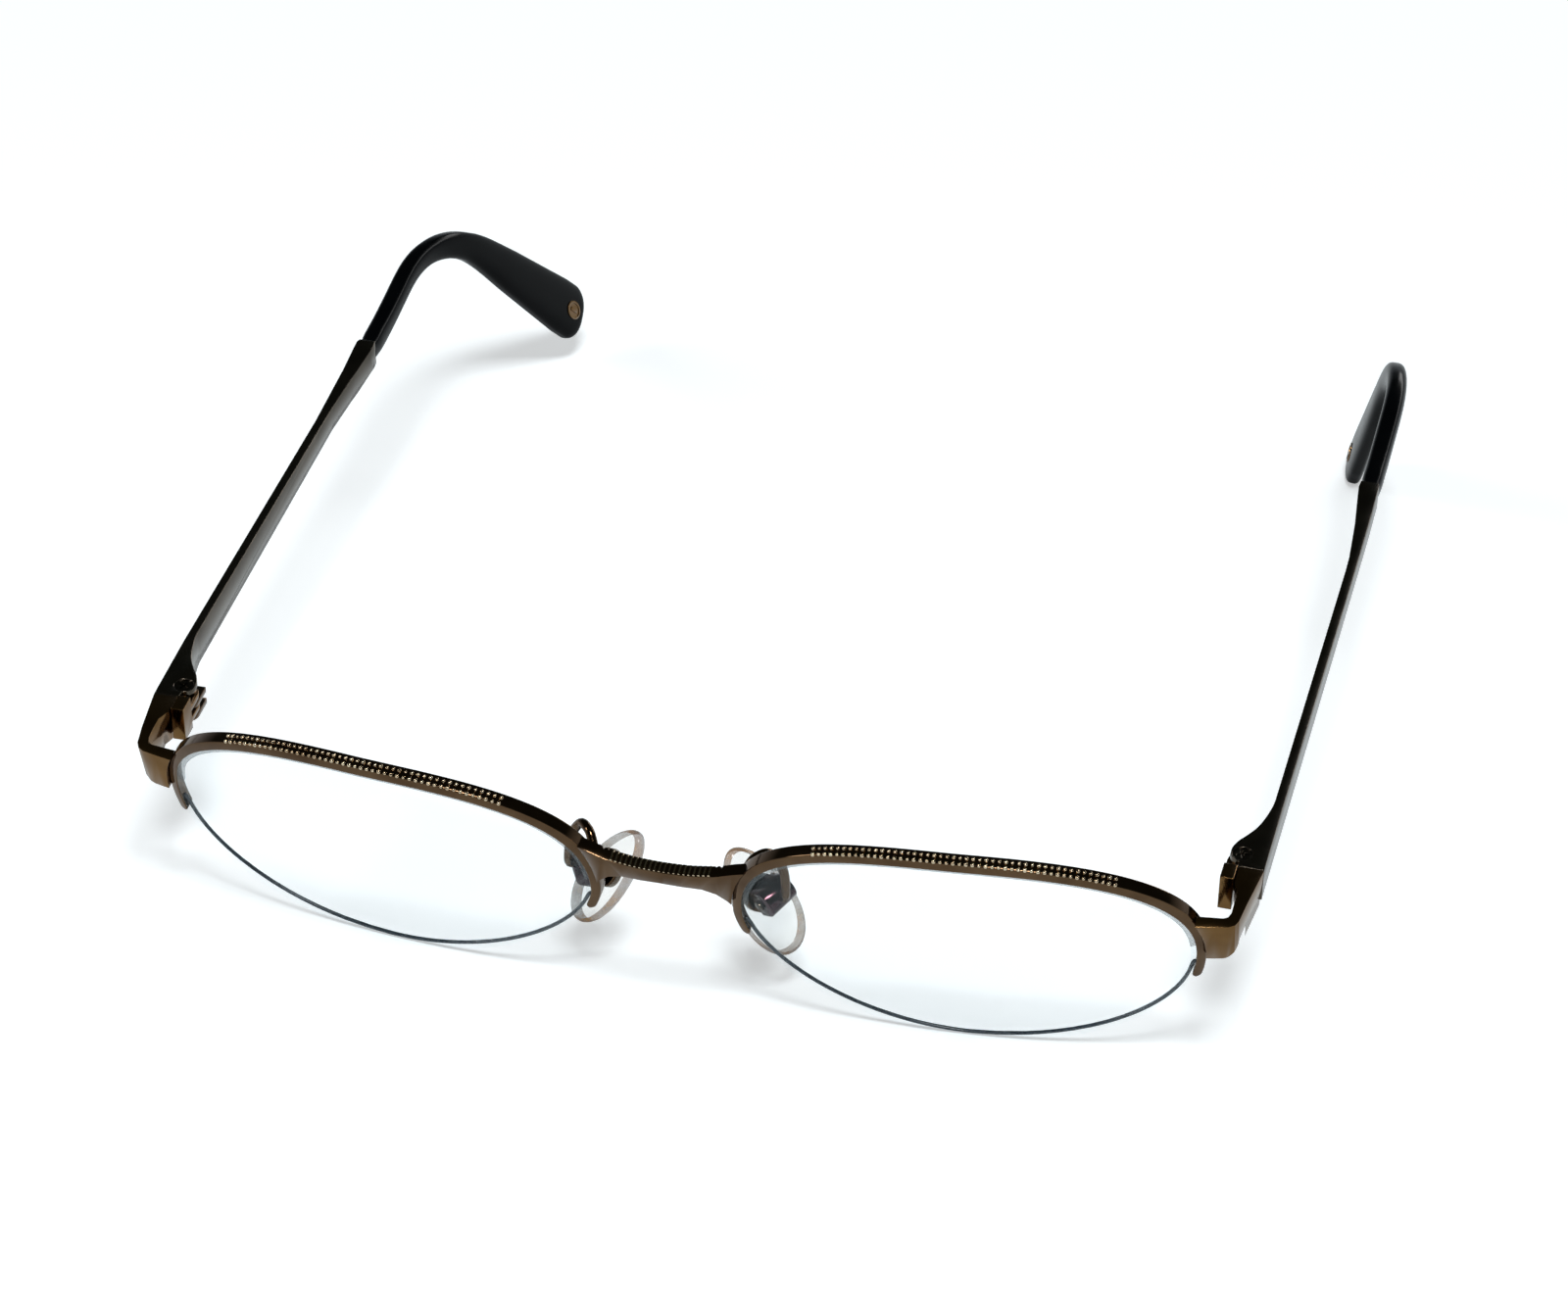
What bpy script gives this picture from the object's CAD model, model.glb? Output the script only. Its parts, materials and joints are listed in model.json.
import json
from math import copysign, cos, pi, radians, sin, sqrt

import bmesh
import bpy
from mathutils import Matrix, Vector


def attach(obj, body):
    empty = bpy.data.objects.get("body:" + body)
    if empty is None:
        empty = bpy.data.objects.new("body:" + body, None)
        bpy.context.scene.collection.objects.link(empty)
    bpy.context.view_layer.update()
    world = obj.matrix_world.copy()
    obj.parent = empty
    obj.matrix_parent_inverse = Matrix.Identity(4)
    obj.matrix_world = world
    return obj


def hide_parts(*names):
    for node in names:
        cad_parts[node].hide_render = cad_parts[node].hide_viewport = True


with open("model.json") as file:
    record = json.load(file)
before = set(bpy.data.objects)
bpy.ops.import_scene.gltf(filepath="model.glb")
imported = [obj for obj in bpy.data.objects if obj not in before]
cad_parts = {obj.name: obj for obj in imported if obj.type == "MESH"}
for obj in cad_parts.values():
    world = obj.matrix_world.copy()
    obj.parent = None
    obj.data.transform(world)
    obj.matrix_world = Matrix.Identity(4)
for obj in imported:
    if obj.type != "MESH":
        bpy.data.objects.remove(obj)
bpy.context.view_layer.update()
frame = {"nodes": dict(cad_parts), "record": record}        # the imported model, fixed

scene = bpy.context.scene
sides = {"right": -1, "left": 1}

# how the pair stands: it leans back on both lens edges and the left ear tip
stance = {"lean": 19.5643, "lift": 15.3853, "back": 71.745, "mm": 0.001}


def turn(angle, axis):
    return Matrix.Rotation(radians(angle), 4, axis)


def shift(x, y, z):
    return Matrix.Translation((x, y, z))


stand = (Matrix.Scale(stance["mm"], 4) @ shift(0, -stance["back"], stance["lift"])
         @ turn(stance["lean"], "X"))
mirrored = {s: Matrix.Scale(k, 4, (1, 0, 0)) if k < 0 else Matrix() for s, k in sides.items()}


def clamp01(k):
    return min(1.0, max(0.0, k))


def ease(k):
    c = clamp01(k)
    return c * c * (3 - 2 * c)


def mixed(a, b, k):
    return a + (b - a) * k


def stepped(table, x):
    # straight-line lookup in rows of (x, y)
    if x <= table[0][0]:
        return table[0][1]
    for (x0, y0), (x1, y1) in zip(table, table[1:]):
        if x <= x1:
            return mixed(y0, y1, (x - x0) / (x1 - x0))
    return table[-1][1]


def linear(rgb):
    # screen colour 0..255 to the linear values that sockets take
    parts = [c / 255 for c in rgb]
    return tuple(c / 12.92 if c <= 0.04045 else ((c + 0.055) / 1.055) ** 2.4 for c in parts) + (1.0,)


# shader maths as expressions
class Socket:
    def __init__(self, graph, link):
        self.graph, self.link = graph, link

    def math(self, kind, a, b=None):
        return self.graph.node("ShaderNodeMath", {"operation": kind}, [a] if b is None else [a, b])

    def __add__(self, o):
        return self.math("ADD", self, o)

    def __radd__(self, o):
        return self.math("ADD", o, self)

    def __sub__(self, o):
        return self.math("SUBTRACT", self, o)

    def __rsub__(self, o):
        return self.math("SUBTRACT", o, self)

    def __mul__(self, o):
        return self.math("MULTIPLY", self, o)

    def __rmul__(self, o):
        return self.math("MULTIPLY", o, self)

    def clamped(self):
        return self.graph.node("ShaderNodeClamp", {}, [self])


class Graph:
    def __init__(self, name):
        self.mat = bpy.data.materials.new(name)
        self.mat.use_nodes = True
        self.tree = self.mat.node_tree
        self.tree.nodes.clear()

    def node(self, kind, settings=None, inputs=(), out=0):
        n = self.tree.nodes.new(kind)
        for key, value in (settings or {}).items():
            if key == "stops":
                ramp = n.color_ramp
                while len(ramp.elements) < len(value):
                    ramp.elements.new(0.5)
                for stop, (place, colour) in zip(ramp.elements, value):
                    stop.position, stop.color = place, colour
            else:
                setattr(n, key, value)
        pairs = inputs.items() if isinstance(inputs, dict) else enumerate(inputs)
        for key, value in pairs:
            if isinstance(value, Socket):
                self.tree.links.new(value.link, n.inputs[key])
            elif value is not None:
                n.inputs[key].default_value = value
        return Socket(self, n.outputs[out])

    def place(self):
        return self.node("ShaderNodeTexCoord", out="Object")

    def noise(self, scale, detail=3.0, rough=0.5, stretch=None):
        where = self.place()
        if stretch:
            where = self.node("ShaderNodeVectorMath", {"operation": "MULTIPLY"}, [where, stretch])
        return self.node("ShaderNodeTexNoise", {},
                         {"Vector": where, "Scale": scale, "Detail": detail, "Roughness": rough})

    def blend(self, amount, a, b):
        return self.node("ShaderNodeMix", {"data_type": "RGBA"}, {0: amount, 6: a, 7: b}, out=2)

    def bump(self, height, strength, distance):
        return self.node("ShaderNodeBump", {}, {"Strength": strength, "Distance": distance, "Height": height})

    def principled(self, inputs):
        return self.node("ShaderNodeBsdfPrincipled", {}, inputs)

    def finish(self, shader):
        out = self.tree.nodes.new("ShaderNodeOutputMaterial")
        self.tree.links.new(shader.link, out.inputs[0])
        return self.mat


finishes = {
    "bronze": {"light": (104, 82, 60), "deep": (76, 57, 40), "rough": 0.1, "grain": 900.0},
    "satin": {"light": (98, 90, 80), "deep": (72, 66, 58), "rough": 0.2, "grain": 700.0},
    "bead": {"light": (236, 220, 190), "deep": (150, 122, 90), "rough": 0.1, "grain": 900.0},
    "gold": {"light": (126, 96, 60), "deep": (98, 72, 42), "rough": 0.16, "grain": 900.0},
    "plum": {"light": (72, 48, 54), "deep": (34, 22, 26), "rough": 0.12, "grain": 1100.0},
    "steel": {"light": (92, 84, 74), "deep": (54, 48, 42), "rough": 0.16, "grain": 1500.0},
}


metalSkin = {"clouds": 260.0, "finer": 4, "lineStretch": (1.0, 0.3, 1.0), "lineShare": 0.6, "fineShare": 0.4,
             "cloudRough": 0.08, "fineRough": 0.06, "bump": 0.07, "depth": 0.00002}


def metal(name, light, deep, rough, grain):
    g, skin = Graph(name), metalSkin
    cloud = g.noise(skin["clouds"], 2.0)
    fine = g.noise(grain * skin["finer"], 4.0, 0.6)
    lines = g.noise(grain, 3.0, 0.55, skin["lineStretch"])
    colour = g.blend((cloud * 1.6 - 0.3).clamped(), linear(deep), linear(light))
    height = lines * skin["lineShare"] + fine * skin["fineShare"]
    worn = rough + (cloud - 0.5) * skin["cloudRough"] + (fine - 0.5) * skin["fineRough"]
    return g.finish(g.principled({
        "Base Color": colour, "Metallic": 1.0, "Roughness": worn,
        "Normal": g.bump(height, skin["bump"], skin["depth"])}))


tipSkin = {"deep": (1, 1, 2), "light": (5, 7, 9), "clouds": 150.0, "haze": 2600.0, "rough": 0.12,
           "cloudRough": 0.1, "hazeRough": 0.05, "shine": 0.04, "bump": 0.05, "depth": 0.00003}


def tipBlack():
    g, skin = Graph("tipBlack"), tipSkin
    cloud = g.noise(skin["clouds"], 2.0)
    haze = g.noise(skin["haze"], 3.0, 0.6)
    colour = g.blend(cloud, linear(skin["deep"]), linear(skin["light"]))
    return g.finish(g.principled({
        "Base Color": colour, "Specular IOR Level": skin["shine"],
        "Roughness": skin["rough"] + cloud * skin["cloudRough"] + haze * skin["hazeRough"],
        "Normal": g.bump(haze, skin["bump"], skin["depth"])}))


lensSkin = {"edge": 0.25, "smears": 90.0, "through": (0.985, 0.996, 1.0, 1.0),
            "colour": (0.85, 0.93, 0.96, 1.0), "rough": 0.02, "smearRough": 0.05, "shine": 0.8,
            "least": 0.005, "atEdge": 0.06}


def lensClear():
    g, skin = Graph("lensClear"), lensSkin
    graze = g.node("ShaderNodeLayerWeight", {}, {"Blend": skin["edge"]}, out="Fresnel")
    smear = g.noise(skin["smears"], 3.0)
    clear = g.node("ShaderNodeBsdfTransparent", {}, [skin["through"]])
    shine = g.principled({"Base Color": skin["colour"], "Specular IOR Level": skin["shine"],
                          "Roughness": skin["rough"] + smear * skin["smearRough"]})
    amount = (skin["least"] + graze * skin["atEdge"]).clamped()
    return g.finish(g.node("ShaderNodeMixShader", {}, [amount, clear, shine]))


cordSkin = {"deep": (20, 27, 33), "light": (50, 62, 72), "clouds": 500.0, "rough": 0.2, "wander": 0.15,
            "shine": 0.5}


def cordSlate():
    g, skin = Graph("cordSlate"), cordSkin
    cloud = g.noise(skin["clouds"], 2.0)
    colour = g.blend(cloud, linear(skin["deep"]), linear(skin["light"]))
    return g.finish(g.principled({"Base Color": colour, "Specular IOR Level": skin["shine"],
                                  "Roughness": skin["rough"] + cloud * skin["wander"]}))


linerSkin = {"deep": (96, 100, 100), "light": (150, 156, 158), "clouds": 600.0, "rough": 0.35,
             "wander": 0.1, "alpha": 0.3}


def linerPale():
    g, skin = Graph("linerPale"), linerSkin
    cloud = g.noise(skin["clouds"], 2.0)
    colour = g.blend(cloud, linear(skin["deep"]), linear(skin["light"]))
    return g.finish(g.principled({"Base Color": colour, "Alpha": skin["alpha"],
                                  "Roughness": skin["rough"] + cloud * skin["wander"]}))


padSkin = {"pale": (248, 248, 242), "aged": (232, 228, 204), "mottles": 700.0, "rough": 0.1, "wander": 0.08,
           "alpha": 0.12, "alphaWander": 0.08, "shine": 0.4}
amberSkin = {"deep": (62, 34, 12), "light": (156, 108, 40), "mottles": 420.0, "rough": 0.14, "wander": 0.08,
             "alpha": 0.5, "alphaWander": 0.4, "shine": 0.4}


def padClear():
    g, skin = Graph("padClear"), padSkin
    mottle = g.noise(skin["mottles"], 3.0)
    colour = g.blend(mottle, linear(skin["pale"]), linear(skin["aged"]))
    return g.finish(g.principled({"Base Color": colour, "Specular IOR Level": skin["shine"],
                                  "Roughness": skin["rough"] + mottle * skin["wander"],
                                  "Alpha": skin["alpha"] + mottle * skin["alphaWander"]}))


def padAmber():
    g, skin = Graph("padAmber"), amberSkin
    mottle = g.noise(skin["mottles"], 3.0)
    colour = g.blend((mottle * 1.8 - 0.4).clamped(), linear(skin["deep"]), linear(skin["light"]))
    return g.finish(g.principled({"Base Color": colour, "Specular IOR Level": skin["shine"],
                                  "Roughness": skin["rough"] + mottle * skin["wander"],
                                  "Alpha": (skin["alpha"] + mottle * skin["alphaWander"]).clamped()}))


paints = {name: metal(name, **values) for name, values in finishes.items()}
paints.update(tipBlack=tipBlack(), lensClear=lensClear(), cordSlate=cordSlate(), linerPale=linerPale(),
              padClear=padClear(), padAmber=padAmber())
print("materials:", len(paints))


# making pieces
def addPiece(name, mesh, paint, body, stands, angle=35.0):
    for face in mesh.polygons:
        face.use_smooth = True
    mesh.set_sharp_from_angle(angle=radians(angle))
    mesh.materials.clear()
    mesh.materials.append(paints[paint])
    piece = bpy.data.objects.new(name, mesh)
    scene.collection.objects.link(piece)
    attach(piece, body)
    if stands:
        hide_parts(*stands)
    return piece


def meshFrom(name, points, faces):
    bm = bmesh.new()
    verts = [bm.verts.new(p) for p in points]
    for face in faces:
        bm.faces.new([verts[i] for i in face])
    bmesh.ops.recalc_face_normals(bm, faces=bm.faces)
    mesh = bpy.data.meshes.new(name)
    bm.to_mesh(mesh)
    bm.free()
    return mesh


def loft(rings):
    # closed rings of equal length, joined in order and capped at both ends
    n = len(rings[0])
    points = [p for ring in rings for p in ring]
    faces = [(j * n + i, j * n + (i + 1) % n, (j + 1) * n + (i + 1) % n, (j + 1) * n + i)
             for j in range(len(rings) - 1) for i in range(n)]
    faces += [tuple(reversed(range(n))), tuple(range((len(rings) - 1) * n, len(rings) * n))]
    return points, faces


copied = {"merge": 2e-6, "flat": 2.0, "segments": 2}


def edgedCopy(node, name, paint, edge=0.08, angle=30.0):
    # a node's own shape with its edges eased
    bm = bmesh.new()
    bm.from_mesh(frame["nodes"][node].data)
    bmesh.ops.remove_doubles(bm, verts=bm.verts, dist=copied["merge"])
    bmesh.ops.dissolve_limit(bm, angle_limit=radians(copied["flat"]), verts=bm.verts, edges=bm.edges)
    bmesh.ops.recalc_face_normals(bm, faces=bm.faces)
    mesh = bpy.data.meshes.new(name)
    bm.to_mesh(mesh)
    bm.free()
    body = next(b for b, names in frame["record"]["behaviour"]["bodies"].items() if node in names)
    piece = addPiece(name, mesh, paint, body, [node], 180.0)
    if edge:
        bevel = piece.modifiers.new("easedEdges", "BEVEL")
        bevel.width, bevel.segments, bevel.limit_method = edge * stance["mm"], copied["segments"], "ANGLE"
        bevel.angle_limit, bevel.harden_normals = radians(angle), True
    else:
        piece.data.set_sharp_from_angle(angle=radians(angle))
    return piece


# lenses, in their own frame: x to the temple, y back, z up
lensShape = {"width": 49.6, "height": 31.8, "topShare": 0.475, "gap": 17.9, "wrap": 4.9, "radius": 76.0,
             "thick": 1.6, "powers": (2.2, 2.4, 1.75, 2.15), "around": 240, "across": 18, "bevel": 0.12,
             "grooveMouth": 0.31, "grooveFloor": 0.29, "grooveDeep": 0.55}
halfWide = lensShape["width"] / 2
topHigh = lensShape["height"] * lensShape["topShare"]
lowHigh = lensShape["height"] - topHigh
lensCentre = lensShape["gap"] / 2 + halfWide * cos(radians(lensShape["wrap"]))


def outline(t, off=0.0):
    def bare(a):
        c, s = abs(cos(radians(a))), abs(sin(radians(a)))
        p = lensShape["powers"][int(a % 360 // 90)]
        b = topHigh if sin(radians(a)) >= 0 else lowHigh
        r = ((c / halfWide) ** p + (s / b) ** p) ** (-1 / p)
        return Vector((r * cos(radians(a)), r * sin(radians(a))))
    d = bare(t + 0.4) - bare(t - 0.4)
    return bare(t) + off * Vector((d.y, -d.x)).normalized()


def lensPoint(flat, radius):
    R = lensShape["radius"]
    return Vector((flat.x, R - sqrt(radius ** 2 - flat.x ** 2 - flat.y ** 2), flat.y))


def lensSpace(side):
    return stand @ mirrored[side] @ shift(lensCentre, 0, 0) @ turn(lensShape["wrap"], "Z")


def makeLens(side):
    R, half, bevel = lensShape["radius"], lensShape["thick"] / 2, lensShape["bevel"]
    mouth, bottom, deep = lensShape["grooveMouth"], lensShape["grooveFloor"], lensShape["grooveDeep"]
    place, n = lensSpace(side), lensShape["around"]
    front = [(k / lensShape["across"], R + half) for k in range(1, lensShape["across"])]
    rings = []
    for share, radius in front:
        rings.append([lensPoint(outline(i * 360 / n) * share, radius) for i in range(n)])
    edge = ((-bevel, R + half), (0, R + half - bevel), (0, R + mouth), (-deep, R + bottom),
            (-deep, R - bottom), (0, R - mouth), (0, R - half + bevel), (-bevel, R - half))
    for off, radius in edge:
        rings.append([lensPoint(outline(i * 360 / n, off), radius) for i in range(n)])
    for share, radius in reversed(front):
        rings.append([lensPoint(outline(i * 360 / n) * share, R - half) for i in range(n)])
    points, faces = loft(rings)
    mesh = meshFrom("lens", [place @ p for p in points], faces)
    addPiece("lens_" + side, mesh, "lensClear", "front", ["lens_" + side], 30.0)


# half rims with their beaded rows
rimShape = {"inner": 0.05, "leg": 1.05, "bar": 1.15, "depth": 1.5, "legTemple": 8.0, "legNose": 7.0,
            "swellFrom": 2, "swellOver": 26, "round": 0.16, "thin": 0.03, "steps": 200,
            "beadFrom": 38.0, "beadTo": 142.0, "pitch": 0.68, "beadSize": 0.23,
            "beadRows": ((-0.02, 0.59), (0.0, -0.12)), "beadVary": 0.12, "beadTurn": 2.3}


def swell(t):
    return ease((min(t, 180 - t) + rimShape["swellFrom"]) / rimShape["swellOver"])


def rimTop(t):
    return rimShape["inner"] + mixed(rimShape["leg"], rimShape["bar"], swell(t))


def rimSection(low, high, depth, round1):
    # rounded rectangle in (offset, depth), five points a corner
    corners = ((high, depth, 0), (low, depth, 90), (low, -depth, 180), (high, -depth, 270))
    out = []
    for o, d, start in corners:
        co, cd = o - copysign(round1, o - (low + high) / 2), d - copysign(round1, d)
        angles = [radians(start + k * 22.5) for k in range(5)]
        out += [(co + round1 * cos(a), cd + round1 * sin(a)) for a in angles]
    return out


def makeRim(side):
    R, place, n = lensShape["radius"], lensSpace(side), rimShape["steps"]
    first, last = -rimShape["legTemple"], 180 + rimShape["legNose"]
    inner, depth = rimShape["inner"], rimShape["depth"] / 2
    rings = []

    def section(t, slide, shrink):
        high = rimTop(t)
        mid, half = (inner + high) / 2, (high - inner) / 2
        along = (outline(t + 0.4, mid) - outline(t - 0.4, mid)).normalized()
        half = max(rimShape["thin"], half * shrink)
        cut = min(rimShape["round"], half * 0.9)
        return [lensPoint(outline(t, o) + along * slide, R + d)
                for o, d in rimSection(mid - half, mid + half, depth, cut)]

    endHalf = (rimTop(first) - inner) / 2
    for k in range(6):
        a = radians(90 - k * 15)
        rings.append(section(first, -endHalf * sin(a), cos(a)))
    for i in range(n + 1):
        rings.append(section(mixed(first, last, i / n), 0.0, 1.0))
    for k in range(1, 7):
        a = radians(k * 15)
        rings.append(section(last, endHalf * sin(a), cos(a)))
    points, faces = loft(rings)
    mesh = meshFrom("rim", [place @ p for p in points], faces)
    addPiece("rim_" + side, mesh, "bronze", "front", ["rim_" + side], 50.0)
    # beads along the bar
    t, rows = rimShape["beadFrom"], []
    while t < rimShape["beadTo"]:
        rows.append(t)
        reach = (outline(t + 0.5) - outline(t - 0.5)).length
        t += rimShape["pitch"] / reach
    bm = bmesh.new()
    for lift, deep in rimShape["beadRows"]:
        for k, t in enumerate(rows):
            here = lensPoint(outline(t, rimTop(t) + lift), R + deep)
            size = rimShape["beadSize"] * (1.0 + rimShape["beadVary"] * sin(k * rimShape["beadTurn"]))
            bmesh.ops.create_icosphere(bm, subdivisions=2, radius=size,
                                       matrix=place @ shift(*here))
    bmesh.ops.recalc_face_normals(bm, faces=bm.faces)
    mesh = bpy.data.meshes.new("beads")
    bm.to_mesh(mesh)
    bm.free()
    addPiece("rim_beads_" + side, mesh, "bead", "front", [])


# ear tips, walked along their bend from the collar
tipShape = {"length": 67.0, "thick": 2.55, "paddle": 7.8, "waist": 3.1, "rise": 5.7,
            "bend": {"right": 47.5, "left": 55.5}, "lean": {"right": 16.5, "left": 10.0},
            "riseOver": 12, "fallFrom": 14, "fallOver": 8, "bendFrom": 16.8, "bendOver": 25.2, "leanOver": 16,
            "widths": ((12, 2.95), (24, 3.05), (34, 3.85), (46, 5.9)), "endShare": 0.42, "endThick": 1.6,
            "neck": 0.25, "neckOver": 2.5, "sidePower": 0.62, "edgePower": 0.8,
            "start": (1.6, 75.52, -1.325), "steps": 120, "around": 44}
hingeShape = {"at": (60.9687, 17.45, 3.3), "drop": 16.0, "splay": 1.4}


def hingeSpace(side):
    return (stand @ mirrored[side] @ shift(*hingeShape["at"]) @ turn(-hingeShape["drop"], "X")
            @ turn(-hingeShape["splay"], "Z"))


def tipHeading(d, side):
    shape = tipShape
    fall = 1 - ease((d - shape["fallFrom"]) / shape["fallOver"])
    rise = -shape["rise"] * ease(d / shape["riseOver"]) * fall
    a = radians(rise + shape["bend"][side] * ease((d - shape["bendFrom"]) / shape["bendOver"]))
    lean = radians(shape["lean"][side] * ease((d - shape["fallFrom"]) / shape["leanOver"]))
    return Vector((-sin(lean), cos(lean) * cos(a), -cos(lean) * sin(a)))


def tipWide(d):
    length, paddle, waist = tipShape["length"], tipShape["paddle"], tipShape["waist"]
    base = stepped(((0, waist - 0.35), (3, waist), *tipShape["widths"], (length - 6, paddle)), d)
    end = paddle * tipShape["endShare"]
    e = max(0.0, d - (length - end)) / end
    return base * sqrt(max(0.0012, 1 - e * e))


def tipDeep(d):
    e = max(0.0, d - (tipShape["length"] - tipShape["endThick"])) / tipShape["endThick"]
    thick = tipShape["thick"] - tipShape["neck"] * (1 - ease(d / tipShape["neckOver"]))
    return thick * sqrt(max(0.01, 1 - 0.9 * e * e))


def tipFrames(side, steps):
    length = tipShape["length"]
    step, at, out = length / steps, Vector(tipShape["start"]), []
    for i in range(steps + 1):
        d = i * step
        out.append((d, at.copy(), tipHeading(d, side)))
        at += tipHeading(d + step / 2, side) * step
    return out


def tipRing(at, heading, wide, deep):
    out = (Vector((1, 0, 0)) - heading * heading.x).normalized()
    up, ring = out.cross(heading), []
    for k in range(tipShape["around"]):
        a = 2 * pi * k / tipShape["around"]
        c, s = cos(a), sin(a)
        across = deep / 2 * copysign(abs(c) ** tipShape["sidePower"], c)
        tall = wide / 2 * copysign(abs(s) ** tipShape["edgePower"], s)
        ring.append(at + out * across + up * tall)
    return ring


def makeTip(side):
    place, body = hingeSpace(side), "temple_" + side
    frames, rings = tipFrames(side, tipShape["steps"]), []
    last = tipShape["steps"] - 6
    for d, at, heading in frames[:last + 1]:
        rings.append(tipRing(at, heading, tipWide(d), tipDeep(d)))
    for k in range(1, 13):  # closer rings round the end
        share = last + 6 * sin(radians(k * 7.5))
        i = min(tipShape["steps"] - 1, int(share))
        at = frames[i][1].lerp(frames[i + 1][1], share - i)
        d = share * tipShape["length"] / tipShape["steps"]
        rings.append(tipRing(at, tipHeading(d, side), tipWide(d), tipDeep(d)))
    points, faces = loft(rings)
    mesh = meshFrom("tip", [place @ p for p in points], faces)
    addPiece("temple_tip_" + side, mesh, "tipBlack", body, ["temple_tip_" + side], 60.0)


# nose pads, in the pad's own frame: -x to the nose, z up
padShape = {"centre": (8.9, 7.7, -4.8), "rise": 1.2, "spread": 34.0, "toe": 26.0, "long": 14.5, "wide": 7.2,
            "thick": 2.0, "taper": 0.16, "around": 72, "edge": (3, 8),
            "profile": ((0.0, 0.3), (0.0, 0.6), (0.02, 0.82), (0.08, 0.93), (0.18, 0.98), (0.34, 1.0),
                        (0.5, 0.995), (0.66, 0.97), (0.79, 0.92), (0.88, 0.84), (0.94, 0.72), (0.98, 0.54),
                        (1.0, 0.3), (1.0, 0.1))}


def padSpace(side):
    return (stand @ mirrored[side] @ shift(*padShape["centre"]) @ turn(-padShape["spread"], "Y")
            @ turn(-hingeShape["drop"], "X") @ turn(-padShape["toe"], "Z"))


def makePad(side):
    place, n = padSpace(side), padShape["around"]
    wide, tall, thick = padShape["wide"] / 2, padShape["long"] / 2, padShape["thick"]
    rings = []
    for deep, share in padShape["profile"]:
        ring = []
        for i in range(n):
            c, s = cos(2 * pi * i / n), sin(2 * pi * i / n)
            w = wide * (1 - padShape["taper"] * s) * c * share
            ring.append(place @ Vector((-thick * deep, -w, tall * s * share - padShape["rise"])))
        rings.append(ring)
    points, faces = loft(rings)
    low, high = (k * n for k in padShape["edge"])
    body = "pad_" + side
    core = meshFrom("pad", points, faces[:low] + faces[high:])
    addPiece("nose_pad_" + side, core, "padClear", body, ["nose_pad_" + side], 60.0)
    rim = meshFrom("padEdge", points, faces[low:high])
    addPiece("nose_pad_edge_" + side, rim, "padAmber", body, [], 60.0)


# teeth across the bridge's upper edge
bridgeShape = {"half": 10.95, "back": 2.4, "bow": 1.3, "top": 6.7, "crest": ((0, 0.0), (3, 0.03), (6, 0.3)),
               "reach": 5.8, "pitch": 0.55, "tooth": 0.2, "flat": 0.4, "draft": 0.93, "deep": 0.7,
               "root": 0.1, "proud": 0.14}
toothFaces = ((0, 1, 2, 3), (7, 6, 5, 4), (0, 4, 5, 1), (1, 5, 6, 2), (2, 6, 7, 3), (3, 7, 4, 0))


def makeTeeth():
    points, faces = [], []
    count = int(bridgeShape["reach"] / bridgeShape["pitch"])
    for k in range(-count, count + 1):
        x = k * bridgeShape["pitch"]
        y = bridgeShape["back"] - bridgeShape["bow"] * (1 - (x / bridgeShape["half"]) ** 2)
        z = bridgeShape["top"] + stepped(bridgeShape["crest"], abs(x))
        half, deep, first = bridgeShape["tooth"], bridgeShape["deep"], len(points)
        flat, low, high = half * bridgeShape["flat"], z - bridgeShape["root"], z + bridgeShape["proud"]
        for dy in (-deep, deep):
            inward = y + dy * bridgeShape["draft"]
            points += [(x - half, y + dy, low), (x - flat, inward, high), (x + flat, inward, high),
                       (x + half, y + dy, low)]
        faces += [tuple(first + i for i in f) for f in toothFaces]
    mesh = meshFrom("teeth", [stand @ Vector(p) for p in points], faces)
    addPiece("bridge_teeth", mesh, "bead", "front", [], 20.0)


makeTeeth()
for side in sides:
    makeLens(side)
    makeRim(side)
    makeTip(side)
    makePad(side)
print("shaped pieces made")

# pieces that keep the frame's shape, with eased edges
keptPieces = {
    "end_piece": ("gold", "frame_metal", 0.12), "hinge_front": ("gold", "frame_metal", 0.09),
    "hinge_temple": ("bronze", "frame_metal", 0.09), "hinge_screw": ("steel", "screw_metal", 0.06),
    "temple_bar": ("satin", "frame_metal", 0.1), "pad_box": ("plum", "box_metal", 0.28),
    "pad_screw": ("steel", "box_metal", 0.06), "pad_insert": ("bronze", "box_metal", 0.1),
    "tip_emblem": ("gold", "emblem_metal", 0.04), "pad_arm": ("bronze", "frame_metal", 0),
    "nylon_cord": ("cordSlate", "cord", 0), "rim_liner": ("linerPale", "liner", 0.03)}
edgedCopy("bridge", "bridge_bar", "bronze", 0.07, 28.0)
for part, (paint, slot, edge) in keptPieces.items():
    for side in sides:
        node = part + "_" + side
        edgedCopy(node, node + "_fine", paint, edge, 60.0 if not edge else 30.0)
print("kept pieces eased")

# floor, light and camera
stageSet = {"floor": 6.0, "floorColour": (0.78, 0.84, 0.87, 1.0), "rough": 0.9, "shine": 0.1, "glow": 0.44,
            "mirrored": 0.25, "skyLow": (0.55, 0.6, 0.66, 1), "skyHigh": (0.03, 0.035, 0.032, 1),
            "skyFrom": 0.3}


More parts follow.
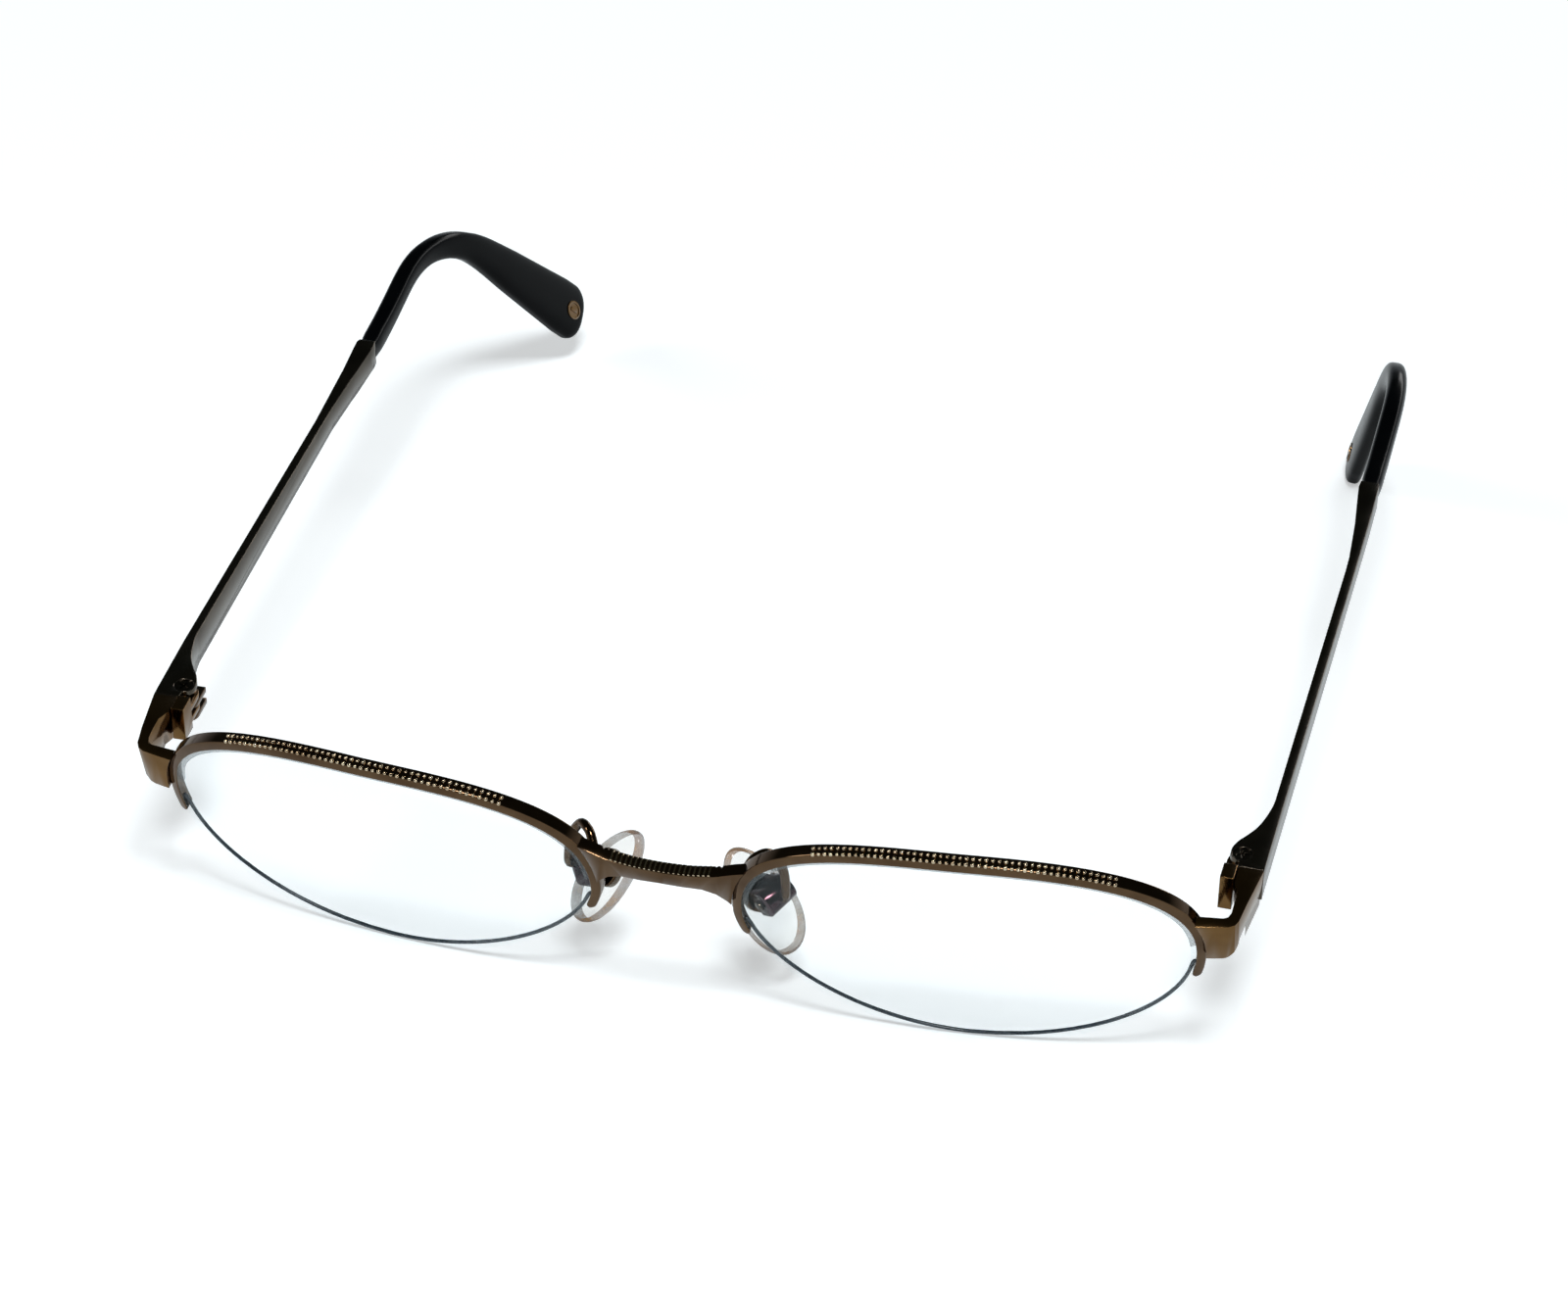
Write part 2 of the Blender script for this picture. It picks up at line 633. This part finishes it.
def makeFloor():
    g = Graph("floorWhite")
    ray = g.node("ShaderNodeLightPath", out="Is Camera Ray")
    gloss = g.node("ShaderNodeLightPath", out="Is Glossy Ray")
    through = g.node("ShaderNodeLightPath", out="Is Transmission Ray")
    seen = (ray + gloss * stageSet["mirrored"] + through).clamped()
    mat = g.finish(g.principled({"Base Color": stageSet["floorColour"], "Roughness": stageSet["rough"],
                                 "Specular IOR Level": stageSet["shine"],
                                 "Emission Color": g.blend(seen, (0, 0, 0, 1), (1, 1, 1, 1)),
                                 "Emission Strength": stageSet["glow"]}))
    half = stageSet["floor"] / 2
    corners = [(-half, -half, 0), (half, -half, 0), (half, half, 0), (-half, half, 0)]
    mesh = meshFrom("floor", corners, [(0, 1, 2, 3)])
    mesh.materials.append(mat)
    floor = bpy.data.objects.new("floor", mesh)
    scene.collection.objects.link(floor)


def makeLamp(name, at, aim, size, power, colour=(1, 1, 1)):
    lamp = bpy.data.lights.new(name, "AREA")
    lamp.shape, lamp.size, lamp.size_y = "RECTANGLE", size[0], size[1]
    lamp.energy, lamp.color = power, colour
    thing = bpy.data.objects.new(name, lamp)
    thing.location = at
    thing.rotation_euler = (Vector(aim) - Vector(at)).to_track_quat("-Z", "Y").to_euler()
    scene.collection.objects.link(thing)


def makeWorld():
    world = bpy.data.worlds.new("studio")
    scene.world = world
    world.use_nodes = True
    tree = world.node_tree
    tree.nodes.clear()
    coord = tree.nodes.new("ShaderNodeTexCoord")
    apart = tree.nodes.new("ShaderNodeSeparateXYZ")
    ramp = tree.nodes.new("ShaderNodeValToRGB")
    back = tree.nodes.new("ShaderNodeBackground")
    out = tree.nodes.new("ShaderNodeOutputWorld")
    tree.links.new(coord.outputs["Generated"], apart.inputs[0])
    tree.links.new(apart.outputs[2], ramp.inputs[0])
    tree.links.new(ramp.outputs[0], back.inputs[0])
    tree.links.new(back.outputs[0], out.inputs[0])
    stops = ramp.color_ramp.elements
    stops[0].position, stops[0].color = 0.0, stageSet["skyLow"]
    stops[1].position, stops[1].color = stageSet["skyFrom"], stageSet["skyHigh"]
    back.inputs[1].default_value = 1.0


lamps = [
    ("keySoft", (0.22, -0.62, 1.2), (0, 0, 0), (0.34, 0.26), 12.5),
    ("leftSoft", (-1.15, -0.35, 0.75), (0, 0, 0), (0.3, 0.5), 4.0),
    ("backSoft", (0.5, 1.2, 0.42), (0, 0, 0), (1.0, 0.22), 4.0)]
makeFloor()
for lamp in lamps:
    makeLamp(*lamp)
makeWorld()

eye = {"at": (100.38, -254.91, 385.89), "ahead": (-0.1941, 0.5922, -0.7821),
       "side": (0.9696, 0.2367, -0.0615), "down": (0.1488, -0.7703, -0.6201), "lens": 99.0, "sensor": 36.0,
       "near": 0.01, "far": 20.0}
camera = bpy.data.objects.new("camera", bpy.data.cameras.new("camera"))
scene.collection.objects.link(camera)
scene.camera = camera
camera.data.lens, camera.data.sensor_width = eye["lens"], eye["sensor"]
camera.data.clip_start, camera.data.clip_end = eye["near"], eye["far"]
upward, backward = ([-v for v in eye[k]] for k in ("down", "ahead"))
aim = turn(stance["lean"], "X").to_3x3() @ Matrix((eye["side"], upward, backward)).transposed()
camera.rotation_mode = "QUATERNION"
camera.rotation_quaternion = aim.to_quaternion()
camera.location = stand @ Vector(eye["at"])

scene.view_settings.view_transform = "Standard"
print("scene ready")
